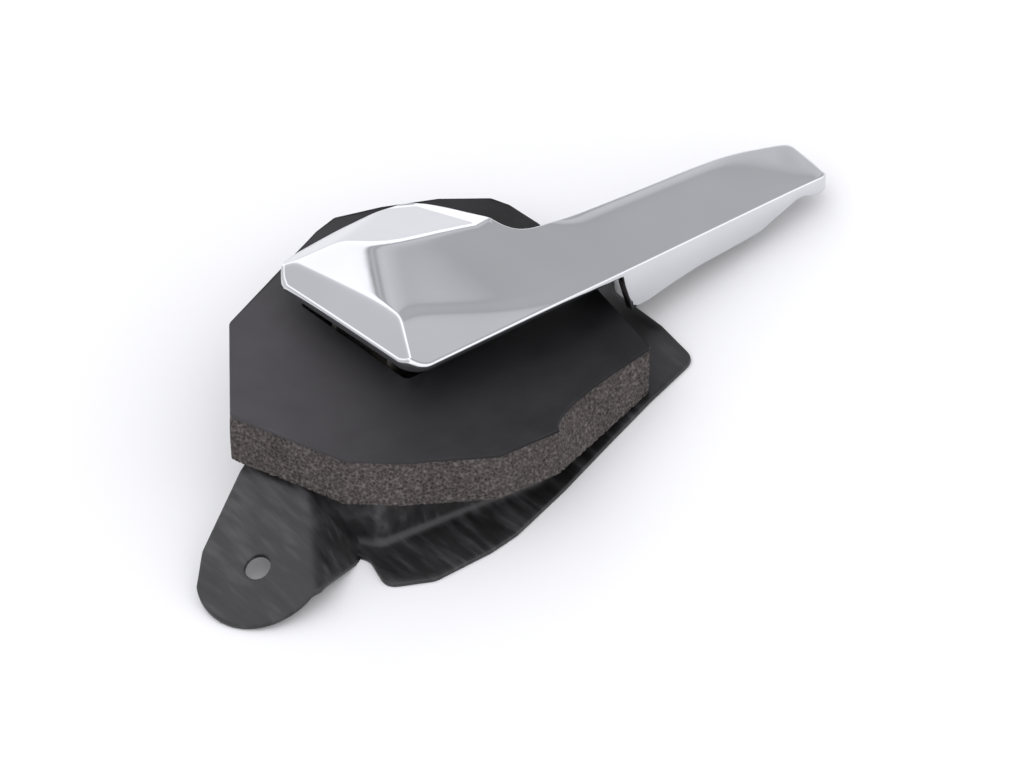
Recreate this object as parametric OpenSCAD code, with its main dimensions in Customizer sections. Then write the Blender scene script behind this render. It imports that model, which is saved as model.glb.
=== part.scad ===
// Inside door release handle: plated lever on a foam-backed base plate.
// Millimetres. Z = 0 is the mounting plane, +X runs along the lever arm
// towards its tip, the origin is the centre of the tail screw hole.

/* [Base plate] */
// Sheet thickness of the base plate
plate_t = 1.5; // [1.2:0.1:1.8]
// Tilt of the raised deck towards the arm, in degrees
deck_tilt = 10; // [9.5:0.1:10.5]
// Diameter of the screw hole in the ear
ear_hole_d = 7; // [5:0.1:8]
// Diameter of the screw hole in the tail
tail_hole_d = 6.5; // [5:0.1:7.5]

/* [Pad] */
// Free thickness of the foam
foam_t = 13.8; // [13.2:0.1:14.2]
// Thickness of the skin on the foam
skin_t = 0.8; // [0.6:0.1:1.0]

/* [Lever] */
// Wall thickness of the cast lever
wall_t = 2.2; // [2.0:0.1:2.4]
// Depth of the arm's side walls where they start
skirt_depth = 13.6; // [12:0.2:14]
// Travel of the lever from rest to the pull stop, in degrees
travel = 28; // [24:1:28]

/* [Pivot] */
// Pivot pin diameter
pin_d = 6; // [5.6:0.1:6.2]
// Radial running clearance of the pin in its bushes
pin_clear = 0.05; // [0.03:0.01:0.08]
// Return spring wire diameter
wire_d = 1.6; // [1.2:0.1:1.8]
// Working coils of the return spring
coils = 7; // [5:1:8]

/* [Hidden] */
$fn = 48;
gap = 0.3;             // free gap between bodies
tail = [76, 38];       // tail hole from the deck datum
deck_z = 34.06;        // deck datum above the mounting plane
hinge = [9, -4];       // pivot axis in the deck frame, x and z
skin_z = -8;           // top of the skin in the deck frame
deck_z0 = skin_z - skin_t - foam_t;  // top of the raised deck sheet
pin_r = pin_d / 2;
bush_r = 4;            // bush barrel
bush_f = 5.2;          // bush flange
brk_t = 1.6;           // pivot bracket sheet
near_lug = [10, 14];
near_ear = [15.2, 16.8];
far_ear = [38.1, 39.7];
crank_y = [41, 43];
far_lug = [43, 48];
sleeve_y = [18.1, 36.8];
coil_r = 5.4;
crank_len = 23;        // pivot to rod hole
stop_len = 12;         // pivot to the stop buttons
crank_w = 8;
rivet_xz = [[-5, 7], [5, 7]];
ear_hole = [-61.7, -1.2, 7.9];
ear_r = 17;

// ---- plan outlines, deck frame for the pad and deck, base frame for the flange
pad_pts = [[-17.8, 57.9], [-43.9, 25.4], [-33.3, -9.4], [-22.7, -19.3], [-0.3, -33.6],
           [19, -34.9], [61.3, -21.6], [66.5, 5], [74, 40.4], [73.4, 52], [71.5, 57.6],
           [60.5, 66.3], [46.5, 73], [33.6, 77.2], [26, 75.4]];
deck_pts = [[-24.7, -13.5], [18, -27], [57, -15], [64, 2], [66, 36], [62, 52], [50, 60],
            [30, 68], [12, 67], [-14, 50], [-38, 25], [-33, 6]];
flange_pts = [[-37.8, -10], [-36.1, -15.4], [-39.7, -26.4], [-29, -34.3], [-12, -37], [-3, -37],
              [16.8, -33.1], [34.9, -28.5], [54.3, -23.8], [72.5, -20.2], [74.9, -4], [75.2, 16], [84, 28],
              [85.5, 40], [79, 47], [70, 52], [58, 66], [32, 76], [12, 74], [-16, 56],
              [-40, 30], [-41, 8]];

function unit(v) = v / norm(v);
function bend(a, b, c, s) = (1 - s) * (1 - s) * a + 2 * s * (1 - s) * b + s * s * c;
// closed outline with every corner replaced by a short curve
function rounded(p, r, n = 5) = [for (i = [0:len(p) - 1])
    let (a = p[(i + len(p) - 1) % len(p)], b = p[i], c = p[(i + 1) % len(p)],
         u = unit(a - b), w = unit(c - b), half = acos(u * w) / 2,
         t = min(r / tan(half), 0.45 * min(norm(a - b), norm(c - b))))
    for (k = [0:n]) bend(b + u * t, b, b + w * t, k / n)];

// outline moved in by t
function inset(p, t) = [for (i = [0:len(p) - 1])
    let (b = p[i], u = unit(p[(i + len(p) - 1) % len(p)] - b), w = unit(p[(i + 1) % len(p)] - b))
    b + unit(u + w) * t / sin(acos(u * w) / 2)];

// ---- lever surface, deck frame
function blend_min(v, k) = -k * ln([for (a = v) exp(-a / k)] * [for (a = v) 1]);
function plane_main(x, y) = -blend_min([-(8.5 - 0.192 * x + 0.21 * y), -(0.45 + 0.235 * y)], 1.2);
function lever_z(x, y) = max(0.4, blend_min([
    plane_main(x, y),
    10.3 + 0.273 * x - 0.071 * y,                                  // white end facet
    0.5 + 1.6 * (x + 2.2 + 0.037 * (y - 6)),                       // end wall
    0.5 + 0.75 * y,                                                // near bevel
    45.2 + 0.03 * x - 0.73 * y,                                    // far bevel by the end
    28.5 - 0.192 * min(x, 46) - 0.33 * y,                          // far bevel
    7.7 - 0.0171 * x - 0.05 * y + 0.012 * pow(max(0, 74 - x), 2),  // far strip of the arm
    0.2 + plane_main(x, y) - 0.106 * (x + y - 135)                 // tip facet
    ], 0.45));
far_pts = [[-4.1, 51.5], [-3.2, 54], [-1, 56.4], [1.6, 58.3], [5.2, 60.2], [9.7, 61.6], [17.5, 62.7],
           [24.5, 63.1], [31, 62.9], [37.5, 62.6], [42, 62.1], [45, 61.2], [47.2, 59.6], [48.6, 57],
           [49.3, 53], [49.8, 48.5], [50.1, 44], [50.4, 39.5], [50.8, 35], [51.4, 31.6], [52.4, 29.2],
           [53.8, 27.3], [56, 25.7], [59, 24.7], [63.5, 24.1], [69, 23.8], [79, 23], [95, 21.8],
           [111.7, 20.7], [118, 20.1], [124.6, 19.1], [130.3, 17.9], [134, 17.1], [137.2, 16.3],
           [138.7, 15.6], [139.6, 14.2], [140, 12]];
function far_y(x) = lookup(x, far_pts);
function near_y(x) = x < 4.2 ? 6.2 - sqrt(max(0.01, 6.4 * 6.4 - (x - 4.2) * (x - 4.2))) * 6.2 / 6.4
    : x > 137.5 ? 1.6 - sqrt(max(0, 1.6 * 1.6 - (x - 137.5) * (x - 137.5) * 0.4)) : 0;
skirt_pts = [[69.2, 1.2], [69.7, skirt_depth - 9.4], [72.4, skirt_depth - 0.4], [78.3, skirt_depth - 0.9],
             [85, skirt_depth - 2.3], [95.4, skirt_depth - 4], [112.4, skirt_depth - 5.1],
             [117.5, skirt_depth - 5.7], [121, skirt_depth - 7.2], [126, skirt_depth - 9],
             [129, skirt_depth - 10.2], [131.5, skirt_depth - 10.4], [134, skirt_depth - 9.4],
             [137, skirt_depth - 8.6], [140, skirt_depth - 8.9]];
function skirt_z(x) = -lookup(x, skirt_pts);
stations = [0, 0.006, 0.014, 0.026, 0.045, 0.075, 0.11, 0.15, 0.19, 0.23, 0.265, 0.295, 0.32,
            0.336, 0.35, 0.36, 0.3675, 0.3725, 0.3765, 0.3795, 0.3825, 0.3855, 0.389, 0.3935, 0.4, 0.411, 0.43, 0.465, 0.49, 0.502, 0.508, 0.516, 0.525, 0.55, 0.6, 0.66,
            0.72, 0.78, 0.81, 0.84, 0.865, 0.885, 0.905, 0.92, 0.935, 0.95, 0.965, 0.98, 0.99, 0.995, 1];
across = [0, 0.04, 0.1, 0.18, 0.28, 0.4, 0.52, 0.64, 0.76, 0.86, 0.93, 0.97, 1];
// how far a far-edge point moves in x and y when the outline is drawn in by 1
function far_in(x) = let (m = (far_y(x + 0.4) - far_y(x - 0.4)) / 0.8, n = sqrt(1 + m * m),
    w = max(0, min(1, (x - 20) / 15, (125 - x) / 10))) [w * m / n, 1 - w + w / n];
// plan position of grid point (u, v), drawn in by t all round
function lever_xy(u, v, t) = let (
    x0 = -2.3 - 1.7 * v, x1 = 140 - 0.4 * v * v, xo = x0 + (x1 - x0) * u,
    k = far_in(xo), a = near_y(xo) + t, b = far_y(xo) - t * k.y)
    [xo + t * (1 - 2 * u) + t * v * k.x, a + (b - a) * v];
nu = len(stations);
nv = len(across);
// grid indices round the edge, starting at the near end corner
edge = concat([for (i = [0:nu - 2]) i * nv], [for (j = [0:nv - 2]) (nu - 1) * nv + j],
              [for (i = [nu - 1:-1:1]) i * nv + nv - 1], [for (j = [nv - 1:-1:1]) j]);

module lever_cast() {
    outer = [for (u = stations) for (v = across) let (p = lever_xy(u, v, 0)) [p.x, p.y, lever_z(p.x, p.y)]];
    inner = [for (u = stations) for (v = across) let (p = lever_xy(u, v, wall_t))
             [p.x, p.y, max(lever_z(p.x, p.y) - 1.8, skirt_z(p.x) + 0.2)]];
    foot = [for (k = edge) [outer[k].x, outer[k].y, skirt_z(outer[k].x)]];
    lip = [for (k = edge) [inner[k].x, inner[k].y, skirt_z(outer[k].x)]];
    n = nu * nv;
    m = len(edge);
    quads = concat(
        [for (i = [0:nu - 2]) for (j = [0:nv - 2]) let (a = i * nv + j) [a, a + 1, a + nv + 1, a + nv]],
        [for (k = [0:m - 1]) let (l = (k + 1) % m) [edge[k], edge[l], 2 * n + l, 2 * n + k]],
        [for (k = [0:m - 1]) let (l = (k + 1) % m) [2 * n + k, 2 * n + l, 2 * n + m + l, 2 * n + m + k]],
        [for (k = [0:m - 1]) let (l = (k + 1) % m) [2 * n + m + k, 2 * n + m + l, n + edge[l], n + edge[k]]],
        [for (i = [0:nu - 2]) for (j = [0:nv - 2]) let (a = n + i * nv + j) [a, a + nv, a + nv + 1, a + 1]]);
    polyhedron(concat(outer, inner, foot, lip),
               [for (q = quads) for (t = [[q[0], q[1], q[2]], [q[0], q[2], q[3]]]) t]);
}

// ---- frames
module base_frame() translate([-tail.x, -tail.y, 0]) children();
module deck_frame() base_frame() translate([0, 0, deck_z]) rotate([0, deck_tilt, 0]) children();
// drawn in the x-z plane about the pivot axis, from y0 to y1
module about_pivot(y0, y1) translate([hinge.x, y1, hinge.y]) rotate([90, 0, 0])
    linear_extrude(y1 - y0) children();
module pivot_rod(r, y0, y1) about_pivot(y0, y1) circle(r);
module opened(a) translate([hinge.x, 0, hinge.y]) rotate([0, -a, 0]) translate([-hinge.x, 0, -hinge.y]) children();

// ---- pieces that move with the lever
module lug(y0, y1, ylow) {
    tops = [for (x = [2:2.5:22]) [x - hinge.x, lever_z(x, ylow) - 0.6 - hinge.y]];
    about_pivot(y0, y1) {
        circle(6);
        polygon(concat([[-5.2, -3], [5.2, -3], [13, tops[len(tops) - 1].y - 2]],
                       [for (i = [len(tops) - 1:-1:0]) tops[i]], [[-7, 4]]));
    }
}

module lever_shell() color([0.8, 0.8, 0.82]) deck_frame() difference() {
    union() {
        lever_cast();
        lug(near_lug[0], near_lug[1], near_lug[0]);
        lug(far_lug[0], far_lug[1], far_lug[1]);
    }
    pivot_rod(pin_r + 0.02, 0.5 * near_lug[0] + 3, 54);
    for (p = rivet_xz) translate([p.x, 0, p.y]) pivot_rod(1.52, far_lug[0] - 1, far_lug[1] + 1);
}

module crank_arm() color([0.62, 0.62, 0.6]) deck_frame() about_pivot(crank_y[0], crank_y[1]) difference() {
    union() {
        circle(6.4);
        translate([-crank_w / 2, -crank_len]) square([crank_w, crank_len]);
        translate([0, -crank_len]) circle(crank_w / 2);
        for (p = rivet_xz) translate(p) circle(3.2);
        polygon([[-8, 6], [-6, 0], [6, 0], [8, 6], [5, 10.2], [-5, 10.2]]);
    }
    circle(pin_r + 0.1);
    translate([0, -crank_len]) circle(2.6);
    for (p = rivet_xz) translate(p) circle(1.52);
}

module crank_rivets() color([0.55, 0.55, 0.55]) deck_frame()
    for (p = rivet_xz) translate([p.x, 0, p.y]) {
        pivot_rod(1.5, crank_y[0] - 0.1, far_lug[1]);
        pivot_rod(2.5, crank_y[0] - 0.8, crank_y[0]);
        pivot_rod(2.5, far_lug[1], far_lug[1] + 0.8);
    }

module pivot_pin() color([0.66, 0.66, 0.68]) deck_frame() difference() {
    union() {
        pivot_rod(pin_r, near_lug[0] - 1.7, far_lug[1] + 0.1);
        pivot_rod(pin_r + 1.7, far_lug[1], far_lug[1] + 2);
    }
    difference() {
        pivot_rod(pin_r + 1, near_lug[0] - 1.1, near_lug[0] - 0.1);
        pivot_rod(pin_r - 0.7, near_lug[0] - 1.2, near_lug[0]);
    }
}

module pin_clip() color([0.5, 0.5, 0.5]) deck_frame() about_pivot(near_lug[0] - 1, near_lug[0] - 0.2) difference() {
    circle(pin_r + 1.9);
    circle(pin_r - 0.65);
    translate([-1.9, -8]) square([3.8, 8]);
    for (a = [-150, -30]) rotate(a) translate([pin_r + 0.4, 0]) circle(0.8);
}

// ---- pieces that stay with the base
module bush(y0, y1, f0, f1) difference() {
    union() {
        pivot_rod(bush_r, y0, y1);
        pivot_rod(bush_f, f0, f1);
    }
    pivot_rod(pin_r + pin_clear, y0 - 1, y1 + 1);
}

module bush_near() color([0.85, 0.83, 0.75]) deck_frame()
    bush(near_ear[0] - 0.9, near_ear[1] + 1, near_ear[0] - 0.9, near_ear[0]);

module bush_far() color([0.85, 0.83, 0.75]) deck_frame()
    bush(far_ear[0] - 1, far_ear[1] + 0.9, far_ear[1], far_ear[1] + 0.9);

module spring_sleeve() color([0.2, 0.2, 0.2]) deck_frame() difference() {
    pivot_rod(pin_r + 1, sleeve_y[0], sleeve_y[1]);
    pivot_rod(pin_r + 0.3, sleeve_y[0] - 1, sleeve_y[1] + 1);
}

coil_pitch = wire_d + 0.35;
function coil_at(a) = [hinge.x + coil_r * cos(a), 27.4 + coil_pitch * (a / 360 - coils / 2), hinge.y + coil_r * sin(a)];

// coil about the pivot with one leg on the bracket floor and one under the lever roof
module return_spring() color([0.72, 0.72, 0.72]) deck_frame() {
    n = 14;
    rw = wire_d / 2;
    a1 = (coils - 1) * 360 + 60;
    leg0 = coil_at(0) + [0, -0.2, deck_z0 + brk_t + rw + 0.1 - hinge.y];
    leg1 = coil_at(a1) + 9.4 * [-sin(a1), 0.02, cos(a1)];
    path = concat([leg0, leg0 + [0, 0.1, 6]],
                  [for (a = [0:360 / n:a1 - 5]) coil_at(a)],
                  [coil_at(a1), leg1]);
    m = 8;
    ring = [for (i = [0:len(path) - 1])
            let (t = unit(path[min(i + 1, len(path) - 1)] - path[max(i - 1, 0)]),
                 s = unit(cross(t, [0, 1, 0])), w = cross(s, t))
            for (k = [0:m - 1]) path[i] + rw * (cos(k * 45) * s + sin(k * 45) * w)];
    l = len(path);
    polyhedron(ring, concat(
        [for (i = [0:l - 2]) for (k = [0:m - 1])
         let (a = i * m + k, b = i * m + (k + 1) % m)
         for (f = [[a, b, b + m], [a, b + m, a + m]]) f],
        [[for (k = [m - 1:-1:0]) k], [for (k = [0:m - 1]) (l - 1) * m + k]]));
}

// sheet ear, wide enough at the far side to carry the stop tabs
module bracket_ear(y, foot0, foot1) about_pivot(y[0], y[1]) difference() {
    union() {
        circle(6.5);
        polygon([[-6.4, 0], [-6.5, -5.5], [foot0, -11], [foot0, deck_z0 - hinge.y], [foot1, deck_z0 - hinge.y],
                 [foot1, -8], [6.2, 1.5]]);
    }
    circle(bush_r + 0.02);
}

module stop_tab() translate([hinge.x - crank_w / 2 - gap - 2.6 - brk_t, far_ear[1] - brk_t, hinge.y - stop_len - 3.4])
    cube([brk_t, 45 - far_ear[1] + brk_t, 6.8]);

module stop_button() translate([hinge.x - crank_w / 2 - gap - 2.6, 42.1, hinge.y - stop_len]) rotate([0, 90, 0]) {
    cylinder(r = 2.4, h = 2.6);
    translate([0, 0, -brk_t - 0.6]) cylinder(r = 1.1, h = brk_t + 0.7);
    translate([0, 0, -brk_t - 1.2]) cylinder(r = 1.7, h = 1.2);
}

module stop_hole() translate([hinge.x - crank_w / 2 - gap - 2.7 - brk_t, 42.1, hinge.y - stop_len]) rotate([0, 90, 0])
    translate([0, 0, -1]) cylinder(r = 1.12, h = brk_t + 2);

module far_stop() opened(travel) translate([hinge.x, 0, 0]) mirror([1, 0, 0]) translate([-hinge.x, 0, 0]) children();

brk_rivets = [[2, 20.5], [28, 20.5], [2, 34.5], [28, 34.5]];

module pivot_bracket() color([0.45, 0.46, 0.47]) deck_frame() difference() {
    union() {
        bracket_ear(near_ear, -8, 16);
        bracket_ear(far_ear, -8.5, 16);
        translate([-2.5, near_ear[0], deck_z0]) cube([34.5, far_ear[1] - near_ear[0], brk_t]);
        stop_tab();
        far_stop() stop_tab();
    }
    for (p = brk_rivets) translate([p.x, p.y, deck_z0 - 1]) cylinder(r = 1.62, h = 4);
    stop_hole();
    far_stop() stop_hole();
}

module bracket_rivets() color([0.6, 0.6, 0.6]) deck_frame()
    for (p = brk_rivets) translate([p.x, p.y, deck_z0 - plate_t]) {
        cylinder(r = 1.6, h = plate_t + brk_t);
        translate([0, 0, plate_t + brk_t]) cylinder(r = 2.9, h = 0.9);
        translate([0, 0, -0.9]) cylinder(r = 2.9, h = 0.9);
    }

module rest_stop() color([0.12, 0.12, 0.12]) deck_frame() stop_button();
module pull_stop() color([0.12, 0.12, 0.12]) deck_frame() far_stop() stop_button();

module above_plane(h) translate([-120, -80, h]) cube([280, 200, 90]);

// deck frame point to base frame
function to_base(p) = [p.x * cos(deck_tilt) + p.z * sin(deck_tilt), p.y,
                       deck_z - p.x * sin(deck_tilt) + p.z * cos(deck_tilt)];
ear_far = to_base([deck_pts[10].x, deck_pts[10].y, deck_z0]);
ear_near = to_base([deck_pts[11].x, deck_pts[11].y, deck_z0]);
ear_n = unit(cross(ear_far - ear_near, ear_hole - ear_near));
ear_d = unit(ear_hole - 0.5 * (ear_far + ear_near));
ear_s = cross(ear_n, ear_d);
web_pts = [ear_near, ear_hole + 6 * ear_d + 18.6 * ear_s, [-37, -12.5, 0.4], [-31.8, -7.6, 0.4]];
web_n = unit(cross(web_pts[1] - web_pts[0], web_pts[2] - web_pts[0]));
web_d = unit(web_pts[1] - web_pts[0]);

// sheet drawn in the plane through o with x along d, hanging below it by its thickness
module sheet_frame(o, d, n) {
    s = cross(n, d);
    multmatrix([[d.x, s.x, n.x, o.x], [d.y, s.y, n.y, o.y], [d.z, s.z, n.z, o.z]]) children();
}

ear_pts = concat([[-34, -9], [-28, -10.5], [-4, -16.4]],
                 [for (a = [-70:10:80]) [ear_r * cos(a) + 0.6, (ear_r + max(0, a) * 0.02) * sin(a)]],
                 [[-28, 9.6], [-34, 8]]);

deck_inner = rounded(inset(deck_pts, plate_t), 4);

module base_plate() color([0.1, 0.1, 0.11]) base_frame() {
    // flange with the tail hole, open under the raised deck
    difference() {
        linear_extrude(plate_t) polygon(rounded(flange_pts, 5));
        translate([tail.x, tail.y, -1]) cylinder(d = tail_hole_d, h = plate_t + 2);
        translate([0, 0, deck_z]) rotate([0, deck_tilt, 0]) translate([0, 0, deck_z0 - plate_t - 60])
            linear_extrude(60) polygon(deck_inner);
    }
    // raised deck: walls and top sheet
    intersection() {
        translate([0, 0, deck_z]) rotate([0, deck_tilt, 0]) difference() {
            translate([0, 0, deck_z0 - 40]) linear_extrude(40) polygon(rounded(deck_pts, 5));
            translate([0, 0, deck_z0 - 40 - plate_t]) linear_extrude(40)
                polygon(deck_inner);
            translate([0.5, far_ear[1] - 0.4, deck_z0 - 10]) cube([33, 15, 20]);
            // slot in the far wall, in line with the rod eye, to pass the rod's end
            translate([hinge.x - 5, 50, hinge.y - crank_len - 5]) cube([10, 24, 10]);
            for (p = brk_rivets) translate([p.x, p.y, deck_z0 - 10]) cylinder(r = 1.62, h = 20);
        }
        above_plane(0);
    }
    // slanted ear and its web down to the flange
    intersection() {
        union() {
            sheet_frame(ear_hole, ear_d, ear_n) difference() {
                translate([0, 0, -plate_t]) linear_extrude(plate_t) polygon(ear_pts);
                translate([0, 0, -5]) cylinder(d = ear_hole_d, h = 10);
            }
            sheet_frame(ear_near, web_d, web_n) translate([0, 0, -plate_t]) linear_extrude(plate_t)
                polygon([for (p = web_pts) [(p - ear_near) * web_d, (p - ear_near) * cross(web_n, web_d)]]);
        }
        above_plane(0);
        translate([0, 0, deck_z]) rotate([0, deck_tilt, 0]) translate([-120, -80, deck_z0 - 90]) cube([280, 200, 90]);
    }
}

pad_shape = rounded(pad_pts, 2.5);

module foam_pad() color([0.36, 0.33, 0.31]) base_frame() difference() {
    intersection() {
        translate([0, 0, deck_z]) rotate([0, deck_tilt, 0]) translate([0, 0, deck_z0])
            linear_extrude(foam_t) polygon(pad_shape);
        above_plane(plate_t);
    }
    translate([0, 0, deck_z]) rotate([0, deck_tilt, 0]) translate([-5, 6, deck_z0 - 1]) cube([41, 50, foam_t + 2]);
}

module face_skin() color([0.08, 0.08, 0.08]) deck_frame() translate([0, 0, skin_z - skin_t]) difference() {
    linear_extrude(skin_t) polygon(pad_shape);
    translate([2, 8.2, -1]) cube([30, 44.8, 3]);
}

module rod_clip() color([0.8, 0.75, 0.4]) deck_frame() translate([0, 0, -crank_len]) difference() {
    union() {
        pivot_rod(2.5, crank_y[0] - 0.6, crank_y[1] + gap);
        pivot_rod(2.9, crank_y[0] - 0.9, crank_y[0] - gap);
        pivot_rod(4.2, crank_y[1] + gap, crank_y[1] + 1.7);
        translate([hinge.x - 2.4, crank_y[1] + gap, hinge.y - 2.6]) cube([11, 1.4, 5.2]);
        translate([hinge.x + 5.4, crank_y[1] + gap, hinge.y - 2.6]) cube([4, 5.2, 5.2]);
    }
    pivot_rod(1.6, crank_y[0] - 2, crank_y[1] + 4);
    translate([hinge.x + 4, crank_y[1] + 4.4, hinge.y]) rotate([0, 90, 0]) cylinder(r = 1.65, h = 8);
}

lever_shell();
crank_arm();
crank_rivets();
pivot_pin();
pin_clip();
bush_near();
bush_far();
spring_sleeve();
return_spring();
pivot_bracket();
bracket_rivets();
rest_stop();
pull_stop();
base_plate();
foam_pad();
face_skin();
rod_clip();
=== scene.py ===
import itertools
import math

import bpy
import numpy as np
from mathutils import Matrix, Vector


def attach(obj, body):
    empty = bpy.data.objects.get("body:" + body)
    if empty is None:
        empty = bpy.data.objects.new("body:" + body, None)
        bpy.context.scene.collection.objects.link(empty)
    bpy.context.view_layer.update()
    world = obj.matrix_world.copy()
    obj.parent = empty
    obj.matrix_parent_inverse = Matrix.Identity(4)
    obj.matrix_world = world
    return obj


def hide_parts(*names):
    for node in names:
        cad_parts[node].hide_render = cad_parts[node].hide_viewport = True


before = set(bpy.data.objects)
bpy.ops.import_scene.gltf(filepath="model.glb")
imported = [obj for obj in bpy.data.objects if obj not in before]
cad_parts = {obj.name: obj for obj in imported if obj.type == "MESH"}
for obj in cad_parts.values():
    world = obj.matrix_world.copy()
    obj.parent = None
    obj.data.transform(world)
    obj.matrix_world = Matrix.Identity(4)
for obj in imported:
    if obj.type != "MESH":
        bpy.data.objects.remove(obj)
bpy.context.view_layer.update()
print("frame loaded")

mm = 0.001

# places shared by the pieces, in millimetres
# the deck frame is raised and tilted on the base; the tail hole is the origin
deck = {"tilt": math.radians(10), "height": 34.06, "tailX": 76, "tailY": 38, "sheetTop": -22.6,
        "skinTop": -8.0, "pivotX": 9.0, "pivotZ": -4.0}


# deck point to row point: turn about Y by the tilt, lift, then shift to the tail hole
def deckToRow(p):
    c, s = math.cos(deck["tilt"]), math.sin(deck["tilt"])
    x, y, z = p[..., 0], p[..., 1], p[..., 2]
    return np.stack([x * c + z * s - deck["tailX"], y - deck["tailY"], z * c - x * s + deck["height"]], -1)


# base-frame point to row point: shifted to the tail hole
def baseToRow(p):
    return p - np.array([deck["tailX"], deck["tailY"], 0.0])


# surface helpers
# quads between neighbouring rows and columns; closed directions wrap round
def gridFaces(rows, cols, closeRows=False, closeCols=False, start=0):
    r = np.arange(rows if closeRows else rows - 1)
    c = np.arange(cols if closeCols else cols - 1)
    i, j = np.meshgrid(r, c, indexing="ij")
    i2, j2 = (i + 1) % rows, (j + 1) % cols
    return np.stack([i * cols + j, i2 * cols + j, i2 * cols + j2, i * cols + j2], -1).reshape(-1, 4) + start


# triangles from each side of a ring to one pole point
def fanFaces(ring, pole, flip=False):
    nxt = np.roll(ring, -1)
    tri = np.stack([ring, nxt, np.full(len(ring), pole)], -1)
    return tri[:, ::-1] if flip else tri


# volume by the divergence sum, used to turn a closed shell's faces outwards
def signedVolume(points, faces):
    total = 0.0
    for f in faces:
        for k in range(1, f.shape[1] - 1):
            side = np.cross(points[f[:, k]], points[f[:, k + 1]])
            total += np.einsum("ij,ij->", points[f[:, 0]], side)
    return total / 6


# object from points and faces in millimetres, its faces turned outwards
def makeMesh(name, points, faceSets, sharpAngle=35):
    faces = [f for f in faceSets if len(f)]
    if signedVolume(points, faces) < 0:
        faces = [f[:, ::-1] for f in faces]
    mesh = bpy.data.meshes.new(name)
    loops = np.concatenate([f.ravel() for f in faces])
    sizes = np.concatenate([np.full(len(f), f.shape[1]) for f in faces])
    mesh.vertices.add(len(points))
    mesh.vertices.foreach_set("co", (points * mm).ravel())
    mesh.loops.add(len(loops))
    mesh.loops.foreach_set("vertex_index", loops.astype(np.int32))
    mesh.polygons.add(len(sizes))
    begins = np.concatenate([[0], np.cumsum(sizes)[:-1]])
    mesh.polygons.foreach_set("loop_start", begins.astype(np.int32))
    mesh.update(calc_edges=True)
    mesh.polygons.foreach_set("use_smooth", np.ones(len(sizes), bool))
    mesh.set_sharp_from_angle(angle=math.radians(sharpAngle))
    mesh.validate()
    piece = bpy.data.objects.new(name, mesh)
    bpy.context.scene.collection.objects.link(piece)
    return piece


# several parts made one mesh, with the whole's name
def joinPieces(name, parts):
    bpy.ops.object.select_all(action="DESELECT")
    for p in parts:
        p.select_set(True)
    bpy.context.view_layer.objects.active = parts[0]
    bpy.ops.object.join()
    whole = bpy.context.view_layer.objects.active
    whole.name = name
    whole.select_set(False)
    return whole


# one integer from a lattice cell's three numbers
def foldCell(c):
    return (c[..., 0] * 73856093) ^ (c[..., 1] * 19349663) ^ (c[..., 2] * 83492791)


# two rounds of shift and multiply, each kept to 32 bits
def scramble(h):
    h = ((h ^ (h >> 15)) * 2246822519) & 0xffffffff
    return ((h ^ (h >> 13)) * 3266489917) & 0xffffffff


# smooth value noise: random numbers on a lattice, blended between the eight corners
def valueNoise(p, seed):
    cell = np.floor(p).astype(np.int64)
    f = p - cell
    f = f * f * (3 - 2 * f)
    total = np.zeros(p.shape[:-1])
    for step in itertools.product((0, 1), repeat=3):
        h = scramble((foldCell(cell + np.array(step)) ^ (seed * 2654435761)) & 0xffffffff)
        r = ((h ^ (h >> 16)) & 0xffff) / 65535.0
        total += np.where(step, f, 1 - f).prod(-1) * r
    return total * 2 - 1


# distance to the nearest of one jittered point per lattice cell
def cellDistance(p, seed):
    cell = np.floor(p).astype(np.int64)
    best = np.full(p.shape[:-1], 9.0)
    for step in itertools.product((-1, 0, 1), repeat=3):
        c = cell + np.array(step)
        d2 = 0
        for k, salt in enumerate((11, 23, 37)):
            h = scramble(foldCell(c) ^ ((seed + salt) * 2654435761))
            d2 = d2 + (c[..., k] + ((h >> 8) & 0xffff) / 65535.0 - p[..., k]) ** 2
        best = np.minimum(best, d2)
    return np.sqrt(best)


# corner points of an outline replaced by short quadratic curves
def roundOutline(corners, radius, steps=8):
    p = np.array(corners, float)
    a, c = np.roll(p, 1, 0), np.roll(p, -1, 0)
    u, w = a - p, c - p
    lu, lw = np.linalg.norm(u, axis=1), np.linalg.norm(w, axis=1)
    u, w = u / lu[:, None], w / lw[:, None]
    half = np.arccos(np.clip((u * w).sum(1), -1, 1)) / 2
    t = np.minimum(radius / np.tan(half), 0.45 * np.minimum(lu, lw))[:, None, None]
    s = np.linspace(0, 1, steps + 1)[None, :, None]
    b = p[:, None]
    curve = (1 - s) ** 2 * (b + u[:, None] * t) + 2 * s * (1 - s) * b + s * s * (b + w[:, None] * t)
    return curve.reshape(-1, 2)


# the outline sampled at count even steps of its length
def evenSteps(outline, count):
    closed = np.vstack([outline, outline[:1]])
    run = np.concatenate([[0], np.cumsum(np.linalg.norm(np.diff(closed, axis=0), axis=1))])
    at = np.linspace(0, run[-1], count, endpoint=False)
    return np.stack([np.interp(at, run, closed[:, k]) for k in (0, 1)], -1)


# where rays from a centre at the given angles cross a closed outline
def rayHits(outline, centre, angles):
    d = outline - centre
    ang = np.unwrap(np.arctan2(d[:, 1], d[:, 0]))
    rad = np.hypot(d[:, 0], d[:, 1])
    order = np.argsort(ang % (2 * np.pi))
    a, r = (ang % (2 * np.pi))[order], rad[order]
    a = np.concatenate([a - 2 * np.pi, a, a + 2 * np.pi])
    hit = np.interp(angles % (2 * np.pi), a, np.tile(r, 3))
    return centre + hit[:, None] * np.stack([np.cos(angles), np.sin(angles)], -1)


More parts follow.
